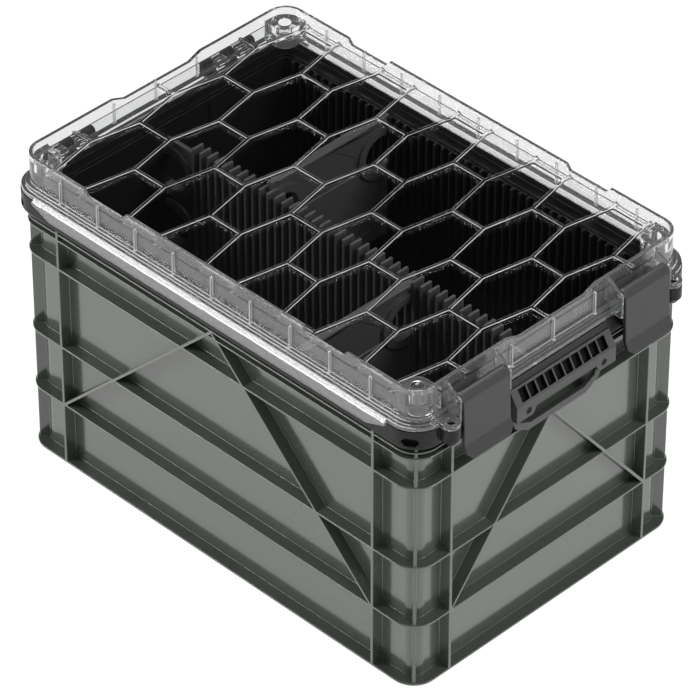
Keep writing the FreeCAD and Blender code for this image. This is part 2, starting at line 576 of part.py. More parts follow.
# Slots square to the handle's sloping face.
def louvres():
    rise, reach = size("handleTop") - size("handleKnee"), size("faceX") - size("handleTopX")
    slope = math.degrees(math.atan2(rise, reach))
    across, down = "(faceX - handleTopX) / louvreRun", "(handleTop - handleKnee) / louvreRun"
    slots = []
    for step in range(louvreCount):
        slot = doc.addObject("Part::Box", "louvre_%d" % (step + 1))
        middle = step - (louvreCount - 1) / 2
        slot.Placement.Rotation = Rotation(Vector(0, 1, 0), slope)
        bind(slot, Length="louvreRun - 2 * louvreMargin", Width="louvreWide", Height="louvreDeep + overrun")
        bindBase(slot, "handleTopX + louvreMargin * %s - louvreDeep * %s" % (across, down),
                 "%r * louvrePitch - louvreWide / 2" % middle,
                 "handleTop - louvreMargin * %s - louvreDeep * %s" % (down, across))
        slots.append(slot)
    return slots


def makeHandle():
    corners = [("-archFoot", "handleBase - overrun"), ("archFoot", "handleBase - overrun"),
               ("archFoot", "handleBase"), ("archHalf", "archZ"),
               ("-archHalf", "archZ"), ("-archFoot", "handleBase")]
    tools = [profile("handle_arch", "yz", corners, "gripX - overrun", "faceX + overrun")] + louvres()
    screws = []
    for side, mark in sides:
        back = ("handleBackX - overrun", side + " * screwY", "screwZ")
        sink = ("headX", side + " * screwY", "screwZ")
        foot = ("gripX", side + " * screwY", "screwZ")
        tools.append(cylinder("handle_bore_" + mark, "x", back, "screwRadius + pressFit",
                              "handleFaceOut + 2 * overrun"))
        tools.append(cylinder("handle_sink_" + mark, "x", sink, "screwHead + screwHeadGap",
                              "screwSink + overrun"))
        shank = cylinder("screw_shank_" + mark, "x", foot, "screwRadius", "headX - gripX")
        head = cylinder("screw_head_" + mark, "x", sink, "screwHead", "screwHeadThick")
        screws.append(fuse("handle_screw_" + mark, [shank, head]))
    keep("carry_handle", cut("carry_handle", handleBody(), tools))
    group = doc.addObject("Part::Compound", "handle_screws")
    group.Links = screws
    keep("handle_screws", group)


def makeHingePins():
    for side, mark in sides:
        foot = ("-hingeX", side + " * hardwareY - hingeHalf", "hingeZ")
        keep("hinge_pin_" + mark, cylinder("hinge_pin_" + mark, "y", foot, "pinRadius", "2 * hingeHalf"))


# The comb-like divider down the middle, with ribs on both faces that stand above its plate.
def makeLongDivider():
    half = "(%d * ribPitch + ribWidth) / 2" % (combRibCount - 1)
    plate = box("comb_plate", ("-" + half, half), ("-combPlate / 2", "combPlate / 2"),
                ("tubFloorTop", "combPlateTop"))
    teeth = doc.addObject("Part::Feature", "comb_teeth")
    wide, deep, foot = size("ribWidth"), 2 * size("combHalfY"), size("tubFloorTop")
    first = -(combRibCount - 1) / 2 * size("ribPitch") - wide / 2
    ribs = []
    for step in range(combRibCount):
        corner = Vector(first + step * size("ribPitch"), -deep / 2, foot)
        ribs.append(Part.makeBox(wide, deep, size("combTop") - foot, corner))
    teeth.Shape = Part.makeCompound(ribs)
    keep("long_divider", fuse("long_divider", [plate, teeth]))
    for side, mark in ends:
        makeClip(side, mark, half)


# The end plate that joins one end of the comb to the end wall, with two flanged notches.
def makeClip(side, mark, half):
    inner, outer = "%s * %s" % (side, half), side + " * tubInX"
    span = (outer, inner) if side == "-1" else (inner, outer)
    high = ("tubFloorTop", "combPlateTop")
    x = side + " * clipRingX"
    rings, notches = [], []
    for level in ("clipRingHigh", "clipRingLow"):
        name = "%s_%s" % (level, mark)
        rings.append(cylinder(name, "y", (x, "-ringThick / 2", level), "ringRadius", "ringThick"))
        start = (x, "-ringThick / 2 - overrun", level)
        notches.append(cylinder(name + "_notch", "y", start, "fingerRadius", "ringThick + 2 * overrun"))
    limits = box("clip_limits_" + mark, span, ("-ringThick", "ringThick"), high)
    plate = fuse("clip_plate_" + mark, [
        box("clip_web_" + mark, span, ("-clipWeb / 2", "clipWeb / 2"), high),
        common("clip_flanges_" + mark, fuse("clip_rings_" + mark, rings), limits),
    ])
    keep("divider_clip_" + mark, cut("divider_clip_" + mark, plate, notches))


# Thin panels sunk into both faces of a divider: one like a gable, and a plain one below it.
def dividerPanels(mark, side, span, top):
    gable = [("panelNear", top + " - roofLowDrop"), ("panelFar", top + " - roofLowDrop"),
             ("panelFar", top + " - roofSideDrop"), ("panelMiddle", top + " - roofTopDrop"),
             ("panelNear", top + " - roofSideDrop")]
    foot = [("footPanelNear", "footPanelLow"), ("footPanelFar", "footPanelLow"),
            ("footPanelFar", top + " - footPanelDrop"), ("footPanelNear", top + " - footPanelDrop")]
    low, high = span
    panels = []
    for kind, corners in (("gable", mirrored(side, gable)), ("foot", mirrored(side, foot))):
        name = "divider_%s_%s" % (kind, mark)
        panels.append(profile(name + "_a", "yz", corners, low + " - overrun", low + " + panelDeep"))
        panels.append(profile(name + "_b", "yz", corners, high + " - panelDeep", high + " + overrun"))
    return panels


# A divider that slides into a slot of the comb and one of the wall, with a flanged notch at each end.
def makeCrossDivider(mark, slotCount, side):
    x, top = "%r * ribPitch" % slotCount, mark + "Top"

    def along(near, far):
        return (near, far) if side == "1" else ("-(%s)" % far, "-(%s)" % near)

    high = ("dividerLow", top)
    plateSpan = centred(x, "dividerThick / 2")
    tongueSpan = centred(x, "tongueThick / 2")
    ringLow = centred(x, "ringThick / 2")[0]
    rings, tools = [], dividerPanels(mark, side, plateSpan, top)
    for end in ("ringNear", "ringFar"):
        name = "%s_%s" % (end, mark)
        spot = ("%s * %s" % (side, end), top + " - ringDrop")
        rings.append(cylinder(name, "x", (ringLow,) + spot, "ringRadius", "ringThick"))
        tools.append(cylinder(name + "_notch", "x", (ringLow + " - overrun",) + spot, "fingerRadius",
                              "ringThick + 2 * overrun"))
    limits = box("divider_limits_" + mark, centred(x, "ringThick"), along("brimStart", "brimFar"), high)
    body = fuse("divider_body_" + mark, [
        box("divider_plate_" + mark, plateSpan, along("dividerNear", "dividerFar"), high),
        box("divider_tongue_near_" + mark, tongueSpan,
            along("dividerNear", "dividerNear + tongueLength"), high),
        box("divider_tongue_far_" + mark, tongueSpan,
            along("dividerFar - tongueLength", "dividerFar"), high),
        box("divider_brim_" + mark, centred(x, "brimWide / 2"), along("brimStart", "brimFar"),
            (top + " - brimThick", top)),
        common("divider_flanges_" + mark, fuse("divider_rings_" + mark, rings), limits),
    ])
    keep("cross_divider_" + mark, cut("cross_divider_" + mark, body, tools))


def makeCrossDividers():
    makeCrossDivider("rear", rearSlotCount, "1")
    makeCrossDivider("front", frontSlotCount, "-1")


# Pockets of the honeycomb that stiffens the lid panel.
def honeycombCells():
    item = doc.addObject("Part::Feature", "honeycomb_cells")
    pitch, row, wide = size("honeyPitch"), size("honeyRow"), size("honeyWide")
    edge = size("honeyEdge") / 2
    lean = pitch - 2 * edge
    inset = wide / 2
    side = edge + lean - inset * math.hypot(lean, row) / row
    top = row - inset
    shoulder = side - lean * top / row
    corners = [(-side, 0), (-shoulder, -top), (shoulder, -top),
               (side, 0), (shoulder, top), (-shoulder, top)]
    outline = Part.makePolygon([Vector(x, y, 0) for x, y in corners + corners[:1]])
    cell = Part.Face(outline).extrude(Vector(0, 0, size("honeyTall") + 2 * size("overrun")))
    cells = []
    columns = math.ceil(size("lidInX") / pitch) + 1
    rows = math.ceil(size("lidInY") / row) + 1
    for column in range(-columns, columns + 1):
        for level in range(-rows, rows + 1):
            if (column + level) % 2 == 0:
                cells.append(cell.translated(Vector(column * pitch, level * row, 0)))
    item.Shape = Part.makeCompound(cells)
    item.Placement.Base = Vector(0, 0, size("panelTop") - size("overrun"))
    return item


# Skirts that hang over the case's long sides, with slanted ends.
def lidSkirts():
    corners = [("-skirtEnd", "lidLedge"), ("-skirtEnd", "skirtLow + skirtEndRise"),
               ("-skirtEnd + skirtCut", "skirtLow"), ("skirtEnd - skirtCut", "skirtLow"),
               ("skirtEnd", "skirtLow + skirtEndRise"), ("skirtEnd", "lidLedge")]
    limits = profile("skirt_ends", "xz", corners, "-skirtOut - overrun", "skirtOut + overrun")
    section = [("skirtIn", "skirtLow"), ("skirtOut", "skirtLow"), ("skirtOut", "skirtKneeZ"),
               ("lidFlangeY", "lidLedge"), ("lidStepY", "lidLedge"),
               ("lidStepY", "lidLow"), ("skirtIn", "lidLow")]
    skirts = []
    for side, mark in sides:
        run = profile("skirt_run_" + mark, "yz", mirrored(side, section), "-frontX", "frontX")
        skirts.append(common("lid_skirt_" + mark, run, limits))
    return skirts


def lidGussets():
    gussets = []
    high = ("lidLedge", "gussetTop")
    for step in range(longGussetCount):
        span = centred("%d * honeyPitch" % (step - longGussetCount // 2), "gussetThick / 2")
        gussets.append(box("long_gusset_%d" % step, span, ("-gussetY", "gussetY"), high))
    for step in range(shortGussetCount):
        span = centred("%d * honeyRow" % (step - shortGussetCount // 2), "gussetThick / 2")
        gussets.append(box("short_gusset_%d" % step, ("-gussetX", "gussetX"), span, high))
    return gussets


# The lid's inside, its tray and the gaps in its stacking lip.
def lidHollows():
    inner = ("lidInX", "lidInY", "lidInCorner")
    over = "lidTop + overrun"
    short = [("-shortGapHalf", "lipLow"), ("shortGapHalf", "lipLow"), ("shortGapTop", "lidTop"),
             ("shortGapTop", over), ("-shortGapTop", over), ("-shortGapTop", "lidTop")]
    hollows = [
        roundedBlock("lid_hollow", inner, "lidLow - overrun", "panelLow"),
        roundedBlock("lid_tray", inner, "panelTop", "lidTop + overrun"),
        profile("short_lip_gap", "yz", short, "-frontX", "frontX"),
    ]
    long = [("longGapNear + gapSlope", "lipLow"), ("longGapFar - gapSlope", "lipLow"),
            ("longGapFar", "lidTop"), ("longGapFar", over), ("longGapNear", over), ("longGapNear", "lidTop")]
    for along, mark in ends:
        hollows.append(profile("long_lip_gap_" + mark, "xz", mirrored(along, long), "-sideY", "sideY"))
    return hollows


# What fills the space between a corner boss and the wall's rounded corner.
def bossFill(name, along, side):
    corners = [("bossX", "bossY - bossRadius"), ("bossWallX", "bossY - bossRadius"),
               ("bossWallX", "bossWallY"), ("bossX - bossRadius", "bossWallY"),
               ("bossX - bossRadius", "bossY"), ("bossX", "bossY")]
    outline = [("%s * (%s)" % (along, x), "%s * (%s)" % (side, y)) for x, y in corners]
    fill = profile(name + "_block", "xy", outline, "lidStepTop", "bossTop")
    limits = ("bossWallX", "bossWallY", "bossWallCorner")
    return common(name, fill, roundedBlock(name + "_limits", limits, "lidStepTop", "bossTop"))


# Latch cheeks, padlock ear, hinge knuckles and corner bosses on one side of the lid.
def lidFittings(side, mark):
    y = side + " * hardwareY"
    spot = ("earX", side + " * earY")
    earSpan = centred(side + " * earY", "earRadius")
    fittings = [
        cylinder("lid_ear_" + mark, "z", spot + ("lidLow",), "earRadius", "lidEarTall"),
        box("lid_ear_neck_" + mark, ("lidStepX", "earX"), earSpan, ("lidLow", "lidLow + lidEarTall")),
    ]
    cheek = [("cheekIn", "cheekTop"), ("cheekX", "cheekKnee"), ("cheekX", "cheekLow"),
             ("lidStepX", "cheekLow"), ("cheekIn", "lidStepTop")]
    for way, edge in (("-1", "near"), ("1", "far")):
        low, high = centred("%s + %s * (cheekNear + cheekThick / 2)" % (y, way), "cheekThick / 2")
        fittings.append(profile("cheek_%s_%s" % (mark, edge), "xz", cheek, low, high))
    for step in (-1, 1):
        span = centred("%s + %d * knuckleStep" % (y, step), "knuckleWide / 2")
        name = "lid_knuckle_%s_%d" % (mark, step + 1)
        fittings.append(cylinder(name, "y", ("-hingeX", span[0], "hingeZ"), "knuckleRadius", "knuckleWide"))
        fittings.append(box(name + "_lug", ("-hingeX", "-lidStepX + lugLap"), span,
                            ("hingeZ - knuckleRadius / 2", "hingeZ + knuckleRadius")))
    for along, end in ends:
        foot = (along + " * bossX", side + " * bossY", "lidStepTop")
        name = "corner_boss_%s_%s" % (mark, end)
        fittings.append(cylinder(name, "z", foot, "bossRadius", "bossTop - lidStepTop"))
        fittings.append(bossFill(name + "_fill", along, side))
    return fittings


def lidHoles(side, mark):
    y = side + " * hardwareY"
    cheekFoot = ("pivotX", y + " - cheekFar - overrun", "pivotZ")
    earFoot = ("earX", side + " * earY", "lidLow - overrun")
    pinFoot = ("-hingeX", y + " - hingeHalf - overrun", "hingeZ")
    holes = [
        cylinder("cheek_pin_hole_" + mark, "y", cheekFoot, "latchPinRadius + pressFit",
                 "2 * cheekFar + 2 * overrun"),
        cylinder("lid_ear_hole_" + mark, "z", earFoot, "earHole", "lidEarTall + 2 * overrun"),
        cylinder("lid_pin_hole_" + mark, "y", pinFoot, "pinRadius + pinFit",
                 "2 * hingeHalf + 2 * overrun"),
    ]
    for along, end in ends:
        foot = (along + " * bossX", side + " * bossY", "bossTop - socketDeep")
        holes.append(cylinder("socket_%s_%s" % (mark, end), "z", foot, "socketRadius",
                              "socketDeep + overrun"))
    return holes


def makeLid():
    inner = ("lidInX", "lidInY", "lidInCorner")
    outside = fuse("lid_outside", [
        roundedBlock("lid_flange", ("lidFlangeX", "lidFlangeY", "lidFlangeCorner"), "lidLow", "lidLedge"),
        roundedBlock("lid_step", ("lidStepX", "lidStepY", "lidStepCorner"), "lidLedge", "lidStepTop"),
        roundedBlock("lid_wall", ("lidWallX", "lidWallY", "lidWallCorner"), "lidStepTop", "lidTop"),
    ] + lidGussets() + lidSkirts())
    shell = cut("lid_box", outside, lidHollows())
    slab = roundedBlock("honeycomb_slab", inner, "panelTop", "honeyTop")
    comb = cut("honeycomb", slab, [honeycombCells()])
    added, holes = [shell, comb], []
    for side, mark in sides:
        added += lidFittings(side, mark)
        holes += lidHoles(side, mark)
    keep("lid_shell", cut("lid_shell", fuse("lid_whole", added), holes))


# Side outline of a latch, from its lip up over the crown and down its back.
latchOutline = [
    ("lipX", "lipZ"), ("bendX", "bendZ"), ("latchFaceX", "rimZ + latchFaceRise"),
    ("frontX + latchShoulderOut", "rimZ + latchShoulderRise"), ("frontX + latchCrownOut", "crownZ"),
    ("frontX + latchBackOut", "rimZ + latchBackRise"), ("frontX - latchHeelIn", "rimZ + latchHeelRise"),
    ("latchFaceX - latchThick", "pivotZ - barrelRadius"), ("bendX - latchThick", "bendZ"),
    ("lipX - latchLipThick", "lipZ"),
]


def makeLatches():
    for side, mark in sides:
        y = side + " * hardwareY"
        low, high = centred(y, "latchHalf")
        plate = profile("latch_plate_" + mark, "xz", latchOutline, low, high)
        front = [(low + " + latchChamfer", "lipZ"), (high + " - latchChamfer", "lipZ"),
                 (high, "lipZ + latchChamfer"), (high, "crownZ - latchCrownChamfer"),
                 (high + " - latchCrownChamfer", "crownZ"), (low + " + latchCrownChamfer", "crownZ"),
                 (low, "crownZ - latchCrownChamfer"), (low, "lipZ + latchChamfer")]
        limits = profile("latch_front_" + mark, "yz", front, "lidStepX - overrun", "lipX + overrun")
        body = fuse("latch_body_" + mark, [
            common("latch_blank_" + mark, plate, limits),
            cylinder("latch_barrel_" + mark, "y", ("pivotX", low, "pivotZ"), "barrelRadius",
                     "2 * latchHalf"),
            box("latch_claw_" + mark, ("catchX + clawGap", "bendX - latchThick / 2"),
                centred(y, "catchHalf"), ("catchLow", "catchLow + clawTall")),
        ])
        bore = cylinder("latch_pin_bore_" + mark, "y", ("pivotX", low + " - overrun", "pivotZ"),
                        "latchPinRadius + pinFit", "2 * latchHalf + 2 * overrun")
        keep("latch_" + mark, cut("latch_" + mark, body, [bore]))
        foot = ("pivotX", y + " - cheekFar", "pivotZ")
        pin = cylinder("latch_pin_" + mark, "y", foot, "latchPinRadius", "2 * cheekFar")
        keep("latch_pin_" + mark, pin)


writeSizes((crateSizes, caseSizes, lidSizes, sealSizes, hingeSizes, latchSizes, handleSizes, dividerSizes))
for make in (makeCrate, makeTub, makeGasket, makeHandle, makeHingePins, makeLongDivider, makeCrossDividers,
             makeLid, makeLatches):
    make()
doc.recompute()

faults = [item.Label for item in doc.Objects if {"Invalid", "Error"} & set(item.State)]
for node, item in subParts.items():
    if item.Shape.isNull() or not item.Shape.isValid():
        faults.append(node)
if faults:
    raise SystemExit("these objects failed: " + ", ".join(faults))

os.makedirs("parts", exist_ok=True)
for node, item in subParts.items():
    item.Shape.exportStep("parts/%s.step" % node)
    print(node, "solids", len(item.Shape.Solids), "volume", round(item.Shape.Volume))
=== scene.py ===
import bpy
import bmesh
import math
from mathutils import Matrix, Vector
from mathutils.kdtree import KDTree


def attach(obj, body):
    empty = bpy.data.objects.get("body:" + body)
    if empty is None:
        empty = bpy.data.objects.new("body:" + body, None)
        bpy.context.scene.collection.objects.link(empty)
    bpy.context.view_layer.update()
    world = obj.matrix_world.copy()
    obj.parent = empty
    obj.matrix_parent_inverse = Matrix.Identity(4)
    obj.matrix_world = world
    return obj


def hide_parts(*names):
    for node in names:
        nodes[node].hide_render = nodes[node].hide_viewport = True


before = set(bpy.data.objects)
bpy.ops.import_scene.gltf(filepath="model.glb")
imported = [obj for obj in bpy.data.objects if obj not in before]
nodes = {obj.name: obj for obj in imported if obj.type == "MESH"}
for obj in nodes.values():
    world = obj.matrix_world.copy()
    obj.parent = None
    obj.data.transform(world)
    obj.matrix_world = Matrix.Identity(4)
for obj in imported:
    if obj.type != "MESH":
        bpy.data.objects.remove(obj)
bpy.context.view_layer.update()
scene = bpy.context.scene
scene.view_settings.view_transform = "Standard"
print("frame loaded:", len(nodes), "nodes")

# camera at the photograph's angle, for a square picture
shot = {
    "azimuth": 45.0, "elevation": 38.346, "distance": 4.184031,
    "right": 0.001458, "up": 0.101777, "lens": 267.08, "sensor": 36.0, "clipEnd": 50.0,
}


# unit vector from the object to a camera or lamp; azimuth 0 looks along +Y
def outTo(azimuth, elevation):
    turn, rise = math.radians(azimuth), math.radians(elevation)
    return Vector((math.sin(turn) * math.cos(rise), -math.cos(turn) * math.cos(rise), math.sin(rise)))


def placeCamera():
    turn = math.radians(shot["azimuth"])
    back = outTo(shot["azimuth"], shot["elevation"])
    right = Vector((math.cos(turn), math.sin(turn), 0))
    up = back.cross(right)
    data = bpy.data.cameras.new("photoCamera")
    data.lens = shot["lens"]
    data.sensor_width = shot["sensor"]
    data.clip_end = shot["clipEnd"]
    camera = bpy.data.objects.new("photoCamera", data)
    place = back * shot["distance"] + right * shot["right"] + up * shot["up"]
    camera.matrix_world = Matrix((
        (right.x, up.x, back.x, place.x),
        (right.y, up.y, back.y, place.y),
        (right.z, up.z, back.z, place.z),
        (0, 0, 0, 1)))
    scene.collection.objects.link(camera)
    scene.camera = camera


placeCamera()
print("camera placed")


# shared shader groups
def newGroup(name, inputs, outputs):
    group = bpy.data.node_groups.new(name, "ShaderNodeTree")
    for label, value in inputs:
        socket = group.interface.new_socket(label, in_out="INPUT", socket_type="NodeSocketFloat")
        socket.default_value = value
    for label in outputs:
        group.interface.new_socket(label, in_out="OUTPUT", socket_type="NodeSocketFloat")
    return group, group.nodes.new("NodeGroupInput"), group.nodes.new("NodeGroupOutput")


def addNode(tree, kind, **settings):
    node = tree.nodes.new(kind)
    for key, value in settings.items():
        setattr(node, key, value)
    return node


def addMath(tree, operation, first, second):
    node = addNode(tree, "ShaderNodeMath", operation=operation)
    for socket, value in zip(node.inputs, (first, second)):
        if isinstance(value, (int, float)):
            socket.default_value = value
        else:
            tree.links.new(value, socket)
    return node.outputs[0]


def addNoise(tree, vector, scale, detail, roughness=0.5):
    noise = addNode(tree, "ShaderNodeTexNoise")
    noise.inputs["Detail"].default_value = detail
    noise.inputs["Roughness"].default_value = roughness
    tree.links.new(vector, noise.inputs["Vector"])
    if isinstance(scale, (int, float)):
        noise.inputs["Scale"].default_value = scale
    else:
        tree.links.new(scale, noise.inputs["Scale"])
    return noise.outputs["Fac"]


def addShares(tree, first, firstShare, second, secondShare):
    return addMath(tree, "ADD", addMath(tree, "MULTIPLY", first, firstShare),
                   addMath(tree, "MULTIPLY", second, secondShare))


# moulded skin: slow flow marks, fine spark-eroded grain, and gloss that drifts a little
skinRule = {
    "grainScale": 900, "grainDetail": 2, "flowScale": 14, "flowDetail": 4, "flowRough": 0.6,
    "driftScale": 2.7, "driftDetail": 5, "driftRough": 0.65,
    "toneFlow": 0.75, "toneGrain": 0.25, "glossDrift": 0.7, "glossGrain": 0.3,
}


def makeMouldSkin():
    rule = skinRule
    group, given, put = newGroup(
        "mouldSkin", [("Grain Scale", rule["grainScale"]), ("Flow Scale", rule["flowScale"])],
        ["Tone", "Gloss", "Height"])
    where = addNode(group, "ShaderNodeTexCoord").outputs["Object"]
    flow = addNoise(group, where, given.outputs["Flow Scale"], rule["flowDetail"], rule["flowRough"])
    fine = addNoise(group, where, given.outputs["Grain Scale"], rule["grainDetail"])
    tone = addShares(group, flow, rule["toneFlow"], fine, rule["toneGrain"])
    group.links.new(tone, put.inputs["Tone"])
    driftScale = addMath(group, "MULTIPLY", given.outputs["Flow Scale"], rule["driftScale"])
    drift = addNoise(group, where, driftScale, rule["driftDetail"], rule["driftRough"])
    gloss = addShares(group, drift, rule["glossDrift"], fine, rule["glossGrain"])
    group.links.new(gloss, put.inputs["Gloss"])
    group.links.new(fine, put.inputs["Height"])
    return group


# rubbed edges: convex edges, broken up by a noise
rubRule = {"start": 0.54, "width": 0.08, "noiseScale": 160, "noiseDetail": 3}


def makeEdgeRub():
    rule = rubRule
    group, given, put = newGroup("edgeRub", [("Start", rule["start"]), ("Width", rule["width"])], ["Mask"])
    pointed = addNode(group, "ShaderNodeNewGeometry").outputs["Pointiness"]
    where = addNode(group, "ShaderNodeTexCoord").outputs["Object"]
    broken = addNoise(group, where, rule["noiseScale"], rule["noiseDetail"])
    past = addMath(group, "SUBTRACT", pointed, given.outputs["Start"])
    rise = addMath(group, "DIVIDE", past, given.outputs["Width"])
    clamp = addNode(group, "ShaderNodeClamp")
    group.links.new(rise, clamp.inputs["Value"])
    group.links.new(addMath(group, "MULTIPLY", clamp.outputs[0], broken), put.inputs["Mask"])
    return group


mouldSkin = makeMouldSkin()
edgeRub = makeEdgeRub()


# the Mix node's colour sockets are its inputs 6 and 7 and its output 2
def blendColour(tree, mask, first, second):
    mix = addNode(tree, "ShaderNodeMix", data_type="RGBA")
    tree.links.new(mask, mix.inputs[0])
    for socket, value in ((mix.inputs[6], first), (mix.inputs[7], second)):
        if isinstance(value, tuple):
            socket.default_value = value + (1,)
        else:
            tree.links.new(value, socket)
    return mix.outputs[2]


def mapRange(tree, value, given, wanted):
    node = addNode(tree, "ShaderNodeMapRange")
    tree.links.new(value, node.inputs["Value"])
    node.inputs["From Min"].default_value, node.inputs["From Max"].default_value = given
    node.inputs["To Min"].default_value, node.inputs["To Max"].default_value = wanted
    return node.outputs[0]


# the mould skin on a shader: its gloss to Roughness and its grain to Normal
noiseRange = (0.25, 0.75)


def addSkin(tree, shader, look, grainHigh):
    skin = addNode(tree, "ShaderNodeGroup", node_tree=mouldSkin)
    skin.inputs["Grain Scale"].default_value = look["grain"]
    skin.inputs["Flow Scale"].default_value = look["flow"]
    rough = mapRange(tree, skin.outputs["Gloss"], noiseRange, look["rough"])
    tree.links.new(rough, shader.inputs["Roughness"])
    bump = addNode(tree, "ShaderNodeBump")
    bump.inputs["Strength"].default_value = look["bump"]
    bump.inputs["Distance"].default_value = grainHigh
    tree.links.new(skin.outputs["Height"], bump.inputs["Height"])
    tree.links.new(bump.outputs["Normal"], shader.inputs["Normal"])
    return skin


def grey(level):
    return (level, level, level)


plasticGrainHigh = 0.0002


def mouldedPlastic(name, look):
    material = bpy.data.materials.new(name)
    material.use_nodes = True
    tree = material.node_tree
    shader = tree.nodes["Principled BSDF"]
    skin = addSkin(tree, shader, look, plasticGrainHigh)
    rub = addNode(tree, "ShaderNodeGroup", node_tree=edgeRub)
    body = blendColour(tree, skin.outputs["Tone"], look["dark"], look["pale"])
    colour = blendColour(tree, rub.outputs["Mask"], body, look["rubbed"])
    tree.links.new(colour, shader.inputs["Base Color"])
    shader.inputs["IOR"].default_value = look["ior"]
    if "coat" in look:
        shader.inputs["Coat Weight"].default_value = look["coat"]
        shader.inputs["Coat Roughness"].default_value = look["coatRough"]
    return material


finishes = {
    "cratePlastic": {"dark": (0.052, 0.062, 0.05), "pale": (0.064, 0.075, 0.061),
                     "rubbed": (0.12, 0.13, 0.11), "rough": (0.16, 0.24), "grain": 700, "flow": 9,
                     "bump": 0.03, "ior": 1.6, "coat": 0.85, "coatRough": 0.1},
    # the crate plastic again for its upward faces, rougher and painted darker: painted shade on the shelf
    # tops
    "crateShelfPaintedShade": {"dark": (0.042, 0.051, 0.04), "pale": (0.052, 0.062, 0.05),
                   "rubbed": (0.11, 0.12, 0.1), "rough": (0.45, 0.55), "grain": 700, "flow": 9,
                   "bump": 0.05, "ior": 1.45},
    "casePlastic": {"dark": grey(0.005), "pale": grey(0.009), "rubbed": grey(0.04),
                    "rough": (0.3, 0.42), "grain": 1500, "flow": 20, "bump": 0.12, "ior": 1.33},
    # the case plastic again for its broad upward ledges, smoother and painted darker: painted shade on the
    # ledge tops
    "caseLedgePaintedShade": {"dark": grey(0.003), "pale": grey(0.006), "rubbed": grey(0.03),
                  "rough": (0.12, 0.2), "grain": 1500, "flow": 20, "bump": 0.05, "ior": 1.33},
    "handlePlastic": {"dark": grey(0.028), "pale": grey(0.04), "rubbed": grey(0.09),
                      "rough": (0.34, 0.46), "grain": 1500, "flow": 24, "bump": 0.15, "ior": 1.5},
    # near-black, rough and dull, for the faces inside the handle's louvre slots: painted shade in the slots
    "louvrePaintedShade": {"dark": grey(0.003), "pale": grey(0.005), "rubbed": grey(0.005),
                    "rough": (0.6, 0.75), "grain": 1500, "flow": 24, "bump": 0.15, "ior": 1.2},
    "latchPlastic": {"dark": grey(0.018), "pale": grey(0.028), "rubbed": grey(0.09),
                     "rough": (0.32, 0.44), "grain": 1500, "flow": 24, "bump": 0.15, "ior": 1.45},
    "dividerPlastic": {"dark": grey(0.045), "pale": grey(0.062), "rubbed": grey(0.1),
                       "rough": (0.3, 0.42), "grain": 1400, "flow": 22, "bump": 0.1, "ior": 1.45},
    "sealRubber": {"dark": grey(0.01), "pale": grey(0.016), "rubbed": grey(0.03),
                   "rough": (0.6, 0.75), "grain": 2200, "flow": 40, "bump": 0.2, "ior": 1.45},
}
materials = {name: mouldedPlastic(name, look) for name, look in finishes.items()}

# steel: bright latch pins, blackened screws and hinge pins
steels = {
    "pinSteel": {"dark": grey(0.42), "pale": grey(0.52), "rubbed": grey(0.6),
                 "rough": (0.22, 0.36), "grain": 2600, "flow": 60, "bump": 0.1, "ior": 1.5},
    "screwSteel": {"dark": grey(0.008), "pale": grey(0.014), "rubbed": grey(0.014),
                   "rough": (0.3, 0.45), "grain": 2600, "flow": 60, "bump": 0.1, "ior": 1.5},
}


def drawnSteel(name, look):
    material = mouldedPlastic(name, look)
    material.node_tree.nodes["Principled BSDF"].inputs["Metallic"].default_value = 1
    return material


for name, look in steels.items():
    materials[name] = drawnSteel(name, look)

# clear lid plastic: the panel is clear and the walls a little hazy; the softened edges of the thin ribs are
# made milky white, a painted highlight along each rib
clearSkin = {"flow": 16, "grain": 500}
clearGrainHigh = 0.0001
clearLooks = {
    "lidClear": {"tint": (0.94, 0.945, 0.945), "through": 1.0, "rough": (0.0, 0.003), "ior": 1.42,
                 "bump": 0.0, "shadow": (0.95, 0.955, 0.955)},
    "lidRear": {"tint": (0.8, 0.805, 0.805), "through": 0.985, "rough": (0.0, 0.003), "ior": 1.5,
                "bump": 0.0, "shadow": (0.93, 0.94, 0.94)},
    "lidHaze": {"tint": (0.82, 0.825, 0.825), "through": 0.95, "rough": (0.0, 0.003), "ior": 1.5,
                "bump": 0.0, "shadow": (0.9, 0.91, 0.91)},
    # the next two are milky white and go on softened rib edges only, so that the ribs show light lines:
    # painted highlight
    "wallRibEdgePaintedHighlight": {"tint": grey(0.88), "through": 0.5, "rough": (0.08, 0.16), "ior": 1.5,
                 "bump": 0.03, "shadow": grey(0.8)},
    "honeycombEdgePaintedHighlight": {"tint": grey(0.9), "through": 0.6, "rough": (0.08, 0.14), "ior": 1.5,
               "bump": 0.02, "shadow": grey(0.9)},
    "lidRibSide": {"tint": (0.9, 0.905, 0.905), "through": 1.0, "rough": (0.1, 0.16), "ior": 1.42,
                   "bump": 0.0, "shadow": (0.93, 0.94, 0.94)},
    "lidSkirt": {"tint": (0.9, 0.905, 0.905), "through": 0.92, "rough": (0.0, 0.003), "ior": 1.5,
                 "bump": 0.0, "shadow": (0.85, 0.86, 0.86)},
}


def mixShaders(tree, mask, first, second):
    mix = addNode(tree, "ShaderNodeMixShader")
    tree.links.new(mask, mix.inputs[0])
    tree.links.new(first.outputs[0], mix.inputs[1])
    tree.links.new(second.outputs[0], mix.inputs[2])
    tree.links.new(mix.outputs[0], tree.nodes["Material Output"].inputs["Surface"])


